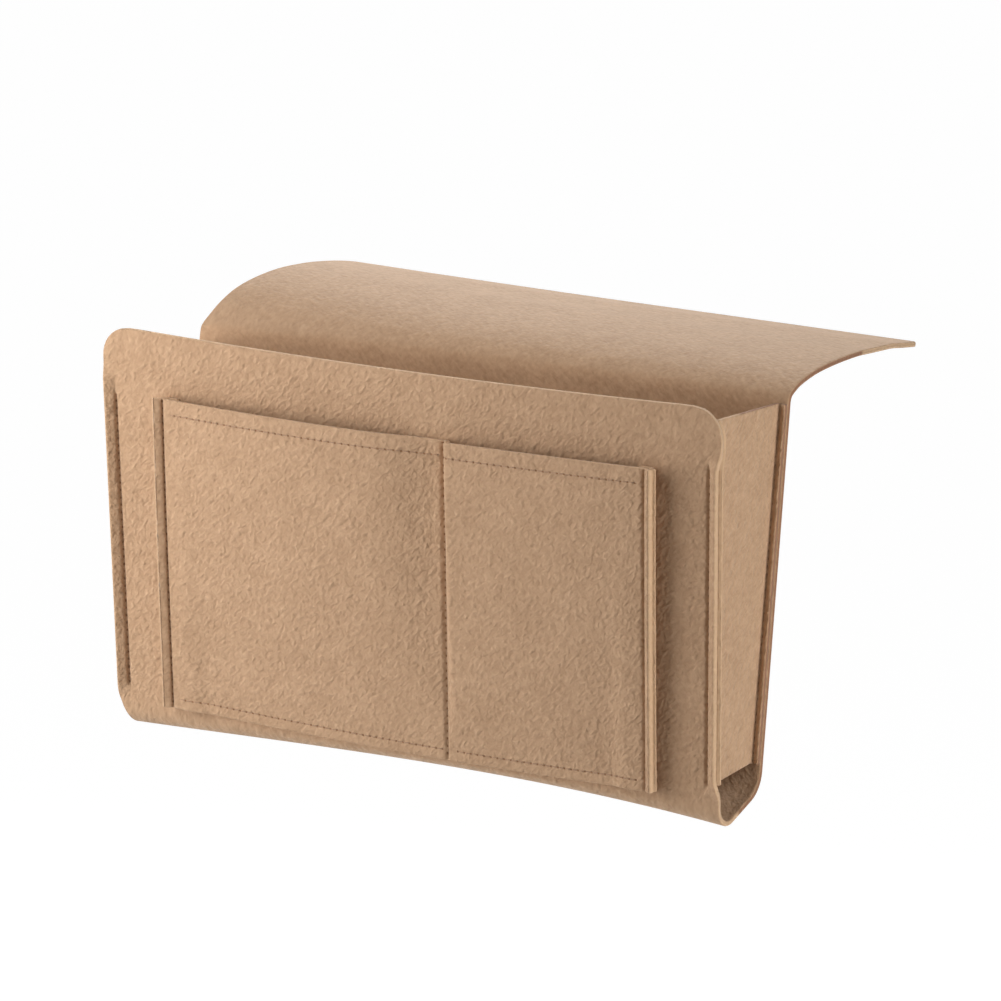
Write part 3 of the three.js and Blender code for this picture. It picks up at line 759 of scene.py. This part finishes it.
def add_stitches(bm, sheet, line, face, pull):
    """A row of stitches along a line of the sheet's flat cut, on its lower (-1) or upper (1) face."""
    start, end = (np.array(point) for point in line)
    length = np.linalg.norm(end - start)
    step = (end - start) / length
    height = face * (felt / 2 - pull - stitch_sink)
    for number in range(int(length / stitch_pitch)):
        middle = start + step * (number + 0.5) * stitch_pitch
        flat = [(*middle, height), (*(middle + step * stitch_length / 2), height), (*middle, height + face)]
        centre, tip, above = (Vector(point) for point in sheet.lay(flat))
        along, out = tip - centre, (above - centre).normalized()
        side = out.cross(along).normalized()
        turned = Matrix((side * stitch_radius, out * stitch_radius, along)).transposed().to_4x4()
        bmesh.ops.create_uvsphere(bm, u_segments=6, v_segments=6, radius=1,
                                  matrix=Matrix.Translation(centre) @ turned)


def on_front_panel(line, sheet=pocket):
    """The same stitch line on the front panel behind the pocket."""
    places = sheet.lay([(*point, 0) for point in line])
    return [body.flat_at(x, height) for x, _, height in places]


sewing_thread = thread_finish("sewing_thread")
seams = {}
for side, sign in sides:
    seams[f"{side}_front_seam"] = [(body, front_seams[side], -1, front_seam_pull),
                                   (gussets[side], gusset_front_seams[side], -sign, gusset_front_pull)]
    seams[f"{side}_back_seam"] = [(gussets[side], gusset_back_seams[side], -sign, gusset_back_pull),
                                  (body, back_seams[side], -1, back_seam_pull)]
    seams[f"{side}_pocket_seam"] = [(pocket, upright_seams[side], -1, upright_pull),
                                    (strips[side], strip_seams[side], -sign, strip_pull)]
    seams[f"{side}_pocket_foot"] = [(strips[side], strip_foot_seams[side], sign, 0),
                                    (body, on_front_panel(strip_foot_seams[side], strips[side]), 1, 0)]
    seams[f"{side}_pocket_hem"] = [(pocket, hem_seams[side], -1, hem_pull),
                                   (pocket, hem_seams[side], 1, inner_pull)]
    seams[f"{side}_pocket_foot_hem"] = [(pocket, foot_hem_seams[side], -1, hem_pull),
                                        (body, on_front_panel(foot_hem_seams[side]), 1, 0)]
seams["pocket_divider"] = [(pocket, upright_seams["divider"], -1, upright_pull),
                           (body, on_front_panel(upright_seams["divider"]), 1, 0)]
for seam, rows in seams.items():
    bm = bmesh.new()
    for row in rows:
        add_stitches(bm, *row)
    stitches = finished_piece(f"{seam}_stitches", bm)
    stitches.data.materials.append(sewing_thread)
    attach(stitches, "pouch")
    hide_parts(f"{seam}_thread")

# Photographer's table. A pale floor some way under the hanging caddy, a camera at the photograph's angle, and
# soft round lamps: three in front on the left, three on the right, two behind and one above.
camera_turn, camera_drop, camera_roll = math.radians(30.52), math.radians(8.72), math.radians(3.42)
camera_distance = 2.6029
camera_target = Vector((0.0178, 0, 0.0301))
back = Vector((math.sin(camera_turn) * math.cos(camera_drop),
               -math.cos(camera_turn) * math.cos(camera_drop), math.sin(camera_drop)))
right = Vector((math.cos(camera_turn), math.sin(camera_turn), 0))
up = back.cross(right)
rolled_right = right * math.cos(camera_roll) + up * math.sin(camera_roll)
rolled_up = up * math.cos(camera_roll) - right * math.sin(camera_roll)
camera = bpy.data.objects.new("camera", bpy.data.cameras.new("camera"))
bpy.context.scene.collection.objects.link(camera)
camera.data.sensor_width = 36
camera.data.lens = 202.54
camera.matrix_world = Matrix.Translation(camera_target + back * camera_distance) @ Matrix(
    (rolled_right, rolled_up, back)).transposed().to_4x4()
bpy.context.scene.camera = camera

# Each lamp's turn from the front and its rise in degrees, its distance in metres and its power in watts.
lamps = {"key_lamp": (-55, 4, 0.65, 1.95), "high_front_lamp": (-27, 34, 0.65, 1.4),
         "low_front_lamp": (-32, -3, 0.65, 1.15), "side_lamp": (85, 12, 1.2, 4),
         "low_side_lamp": (85, -8, 1.2, 3.7), "high_side_lamp": (60, 35, 1.2, 1.6),
         "back_lamp": (-150, 25, 1.2, 9), "high_back_lamp": (-150, 55, 1.2, 4.1),
         "top_lamp": (0, 88, 1.2, 2.1)}
lamp_size = 0.4
for lamp_name, (turn, rise, distance, power) in lamps.items():
    turn, rise = math.radians(turn), math.radians(rise)
    toward = Vector((math.sin(turn) * math.cos(rise), -math.cos(turn) * math.cos(rise), math.sin(rise)))
    lamp = bpy.data.objects.new(lamp_name, bpy.data.lights.new(lamp_name, "AREA"))
    lamp.data.shape = "DISK"
    lamp.data.size = lamp_size
    lamp.data.energy = power
    lamp.location = toward * distance
    lamp.rotation_mode = "QUATERNION"
    lamp.rotation_quaternion = toward.to_track_quat("Z", "Y")
    bpy.context.scene.collection.objects.link(lamp)

floor_reach, floor_level = 12, -0.45
floor = bpy.data.objects.new("floor", bpy.data.meshes.new("floor"))
floor_mesh = bmesh.new()
bmesh.ops.create_grid(floor_mesh, x_segments=1, y_segments=1, size=floor_reach)
bmesh.ops.translate(floor_mesh, verts=floor_mesh.verts, vec=(0, 0, floor_level))
floor_mesh.to_mesh(floor.data)
floor_mesh.free()
bpy.context.scene.collection.objects.link(floor)

# White paper, which to the camera is mostly its own even white, with the object's shadow faint on it.
paper = bpy.data.materials.new("white_paper")
paper.use_nodes = True
paper_nodes, paper_links = paper.node_tree.nodes, paper.node_tree.links
paper_surface = paper_nodes["Principled BSDF"]
paper_surface.inputs["Base Color"].default_value = (0.85, 0.85, 0.85, 1)
paper_surface.inputs["Roughness"].default_value = 0.9
paper_seen = paper_nodes.new("ShaderNodeLightPath")
paper_share = paper_nodes.new("ShaderNodeMath")
paper_share.operation = "MULTIPLY"
paper_share.inputs[1].default_value = 0.9
paper_glow = paper_nodes.new("ShaderNodeEmission")
paper_glow.inputs["Strength"].default_value = 1.1
paper_mix = paper_nodes.new("ShaderNodeMixShader")
paper_links.new(paper_seen.outputs["Is Camera Ray"], paper_share.inputs[0])
paper_links.new(paper_share.outputs["Value"], paper_mix.inputs["Fac"])
paper_links.new(paper_surface.outputs["BSDF"], paper_mix.inputs[1])
paper_links.new(paper_glow.outputs["Emission"], paper_mix.inputs[2])
paper_links.new(paper_mix.outputs["Shader"], paper_nodes["Material Output"].inputs["Surface"])
floor.data.materials.append(paper)

studio = bpy.data.worlds.new("studio")
studio.use_nodes = True
bpy.context.scene.world = studio
air_nodes, air_links = studio.node_tree.nodes, studio.node_tree.links
faint_air = air_nodes["Background"]
faint_air.inputs["Color"].default_value = (1, 1, 1, 1)
faint_air.inputs["Strength"].default_value = 0.01
white_air = air_nodes.new("ShaderNodeBackground")
white_air.inputs["Color"].default_value = (1, 1, 1, 1)
air_seen = air_nodes.new("ShaderNodeLightPath")
air_mix = air_nodes.new("ShaderNodeMixShader")
air_links.new(air_seen.outputs["Is Camera Ray"], air_mix.inputs["Fac"])
air_links.new(faint_air.outputs["Background"], air_mix.inputs[1])
air_links.new(white_air.outputs["Background"], air_mix.inputs[2])
air_links.new(air_mix.outputs["Shader"], air_nodes["World Output"].inputs["Surface"])
bpy.context.scene.view_settings.view_transform = "Standard"
